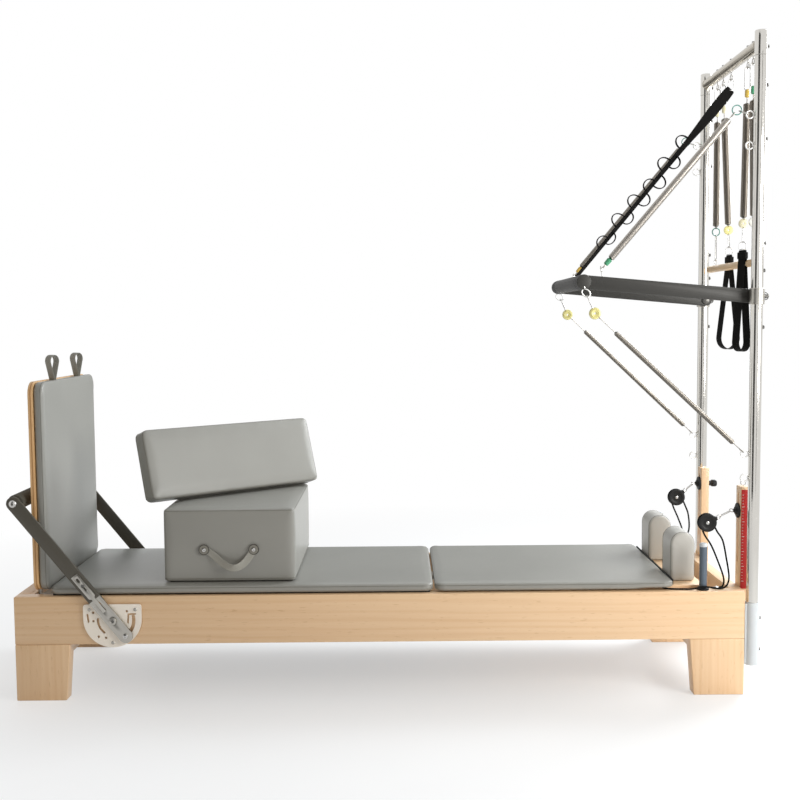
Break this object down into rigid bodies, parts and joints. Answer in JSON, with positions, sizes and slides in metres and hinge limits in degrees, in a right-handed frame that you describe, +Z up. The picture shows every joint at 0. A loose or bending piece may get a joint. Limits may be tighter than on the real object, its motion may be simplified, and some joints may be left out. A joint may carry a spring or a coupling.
{
  "type": "pilates reformer with tower",
  "caption": "Wooden pilates reformer with a sliding bed, footbar, jump board, sitting box, spring tower and push-through bar.",
  "frame": {"origin": "on the floor, under the middle of the box round the whole machine", "axes": "+X from the foot end to the head end, where the tower stands, +Y to the far side, +Z up"},
  "size_m": [2.4926, 0.684, 2.15],
  "materials": {
    "maple": "clear satin lacquer",
    "plywood": "clear satin lacquer",
    "upholstery": "matt grained vinyl",
    "webbing_grey": "woven",
    "webbing_black": "woven",
    "rope_black": "braided",
    "olive_steel": "satin powder coat",
    "bar_grey": "satin powder coat",
    "socket_grey": "satin powder coat",
    "plate_grey": "satin powder coat",
    "polished_steel": "polished",
    "brushed_steel": "brushed",
    "spring_steel": "drawn wire",
    "foam_grip": "matt foam",
    "black_plastic": "moulded",
    "tyre": "smooth"
  },
  "bodies": {
    "frame": {"side_rail_near": "maple", "side_rail_far": "maple", "foot_end_board": "maple", "head_end_board": "maple", "foot_leg_frame": "maple", "head_leg_frame": "maple", "foot_bracket": "brushed_steel", "gear_plate_near": "plate_grey", "gear_plate_far": "plate_grey", "tower_post_near": "polished_steel", "tower_post_far": "polished_steel", "tower_top_tube": "polished_steel", "tower_socket_near": "socket_grey", "tower_socket_far": "socket_grey", "riser_near": "maple", "riser_far": "maple", "pulley_block_near": "black_plastic", "pulley_block_far": "black_plastic", "rope_peg_near": "bar_grey", "rope_peg_far": "bar_grey", "carriage_rope_near": "rope_black", "carriage_rope_far": "rope_black", "push_spring_near": "spring_steel", "push_spring_far": "spring_steel", "lower_spring_near": "spring_steel", "lower_spring_far": "spring_steel", "safety_strap": "webbing_black"},
    "carriage": {"carriage_deck": "plywood", "carriage_pad": "upholstery", "shoulder_rest_near": "upholstery", "shoulder_rest_far": "upholstery", "carriage_springs": "spring_steel"},
    "wheel_foot_near": {"carriage_wheel_foot_near": "tyre"},
    "wheel_foot_far": {"carriage_wheel_foot_far": "tyre"},
    "wheel_head_near": {"carriage_wheel_head_near": "tyre"},
    "wheel_head_far": {"carriage_wheel_head_far": "tyre"},
    "footbar": {"footbar_arm_near": "olive_steel", "footbar_arm_far": "olive_steel", "footbar_grip": "foam_grip"},
    "latch_near": {"footbar_latch_near": "brushed_steel"},
    "latch_far": {"footbar_latch_far": "brushed_steel"},
    "mat": {"mat_extension": "upholstery"},
    "box": {"sitting_box": "upholstery", "box_handle_near": "webbing_grey", "box_handle_far": "webbing_grey"},
    "platform": {"standing_platform": "upholstery"},
    "jump_board": {"jump_board_panel": "plywood", "jump_board_pad": "upholstery"},
    "push_bar": {"push_bar": "bar_grey"},
    "sheave_near": {"pulley_sheave_near": "brushed_steel"},
    "sheave_far": {"pulley_sheave_far": "brushed_steel"},
    "knob_near": {"riser_knob_near": "black_plastic"},
    "knob_far": {"riser_knob_far": "black_plastic"},
    "roll_down": {"roll_down_bar": "maple", "roll_down_spring_near": "spring_steel", "roll_down_spring_far": "spring_steel"},
    "leg_near": {"leg_spring_near": "spring_steel", "leg_strap_near": "webbing_black"},
    "leg_far": {"leg_spring_far": "spring_steel", "leg_strap_far": "webbing_black"}
  },
  "joints": [
    {"name": "carriage_slide", "type": "slide", "parent": "frame", "child": "carriage", "axis": [1, 0, 0], "range_m": [-0.004, 0.07]},
    {"name": "wheel_foot_near_spin", "type": "hinge", "parent": "carriage", "child": "wheel_foot_near", "pos_m": [0.2624, -0.2505, 0.2863], "axis": [0, 1, 0], "range_deg": [-10, 168]},
    {"name": "wheel_foot_far_spin", "type": "hinge", "parent": "carriage", "child": "wheel_foot_far", "pos_m": [0.2624, 0.2505, 0.2863], "axis": [0, 1, 0], "range_deg": [-10, 168]},
    {"name": "wheel_head_near_spin", "type": "hinge", "parent": "carriage", "child": "wheel_head_near", "pos_m": [0.9124, -0.2505, 0.2863], "axis": [0, 1, 0], "range_deg": [-10, 168]},
    {"name": "wheel_head_far_spin", "type": "hinge", "parent": "carriage", "child": "wheel_head_far", "pos_m": [0.9124, 0.2505, 0.2863], "axis": [0, 1, 0], "range_deg": [-10, 168]},
    {"name": "footbar_swing", "type": "hinge", "parent": "frame", "child": "footbar", "pos_m": [-0.9086, 0, 0.271], "axis": [0, 1, 0], "range_deg": [-54, 0]},
    {"name": "latch_near_slide", "type": "slide", "parent": "footbar", "child": "latch_near", "axis": [-0.6257, 0, 0.7801], "range_m": [0, 0.012], "stiffness_N_per_m": 400},
    {"name": "latch_far_slide", "type": "slide", "parent": "footbar", "child": "latch_far", "axis": [-0.6257, 0, 0.7801], "range_m": [0, 0.012], "stiffness_N_per_m": 400},
    {"name": "mat_lift", "type": "slide", "parent": "frame", "child": "mat", "axis": [0, 0, 1], "range_m": [0, 0.1]},
    {"name": "box_lift", "type": "slide", "parent": "mat", "child": "box", "axis": [0, 0, 1], "range_m": [0, 0.1]},
    {"name": "platform_lift", "type": "slide", "parent": "box", "child": "platform", "axis": [0, 0, 1], "range_m": [0, 0.1]},
    {"name": "jump_board_lift", "type": "slide", "parent": "frame", "child": "jump_board", "axis": [0, 0, 1], "range_m": [0, 0.45]},
    {"name": "push_bar_swing", "type": "hinge", "parent": "frame", "child": "push_bar", "pos_m": [1.1894, 0, 1.3106], "axis": [0, 1, 0], "range_deg": [0, 65], "deforming": ["push_spring_near", "push_spring_far", "lower_spring_near", "lower_spring_far", "safety_strap"]},
    {"name": "sheave_near_spin", "type": "hinge", "parent": "frame", "child": "sheave_near", "pos_m": [1.0584, -0.2275, 0.56], "axis": [0, 1, 0], "continuous": true},
    {"name": "sheave_far_spin", "type": "hinge", "parent": "frame", "child": "sheave_far", "pos_m": [1.0754, 0.2275, 0.57], "axis": [0, 1, 0], "continuous": true},
    {"name": "knob_near_turn", "type": "hinge", "parent": "frame", "child": "knob_near", "pos_m": [1.1924, -0.2275, 0.6], "axis": [1, 0, 0], "continuous": true},
    {"name": "knob_far_turn", "type": "hinge", "parent": "frame", "child": "knob_far", "pos_m": [1.1924, 0.2275, 0.622], "axis": [1, 0, 0], "continuous": true},
    {"name": "roll_down_swing", "type": "hinge", "parent": "frame", "child": "roll_down", "pos_m": [1.1894, 0, 2.056], "axis": [0, 1, 0], "range_deg": [0, 15]},
    {"name": "leg_near_swing", "type": "hinge", "parent": "roll_down", "child": "leg_near", "pos_m": [1.1894, -0.175, 2.056], "axis": [0, 1, 0], "range_deg": [0, 12]},
    {"name": "leg_far_swing", "type": "hinge", "parent": "frame", "child": "leg_far", "pos_m": [1.1894, 0.088, 2.056], "axis": [0, 1, 0], "range_deg": [-15, 0]}
  ],
  "couplings": [
    {"joint": "wheel_foot_near_spin", "follows": "carriage_slide", "rad_per_m": 41.667},
    {"joint": "wheel_foot_far_spin", "follows": "carriage_slide", "rad_per_m": 41.667},
    {"joint": "wheel_head_near_spin", "follows": "carriage_slide", "rad_per_m": 41.667},
    {"joint": "wheel_head_far_spin", "follows": "carriage_slide", "rad_per_m": 41.667}
  ]
}
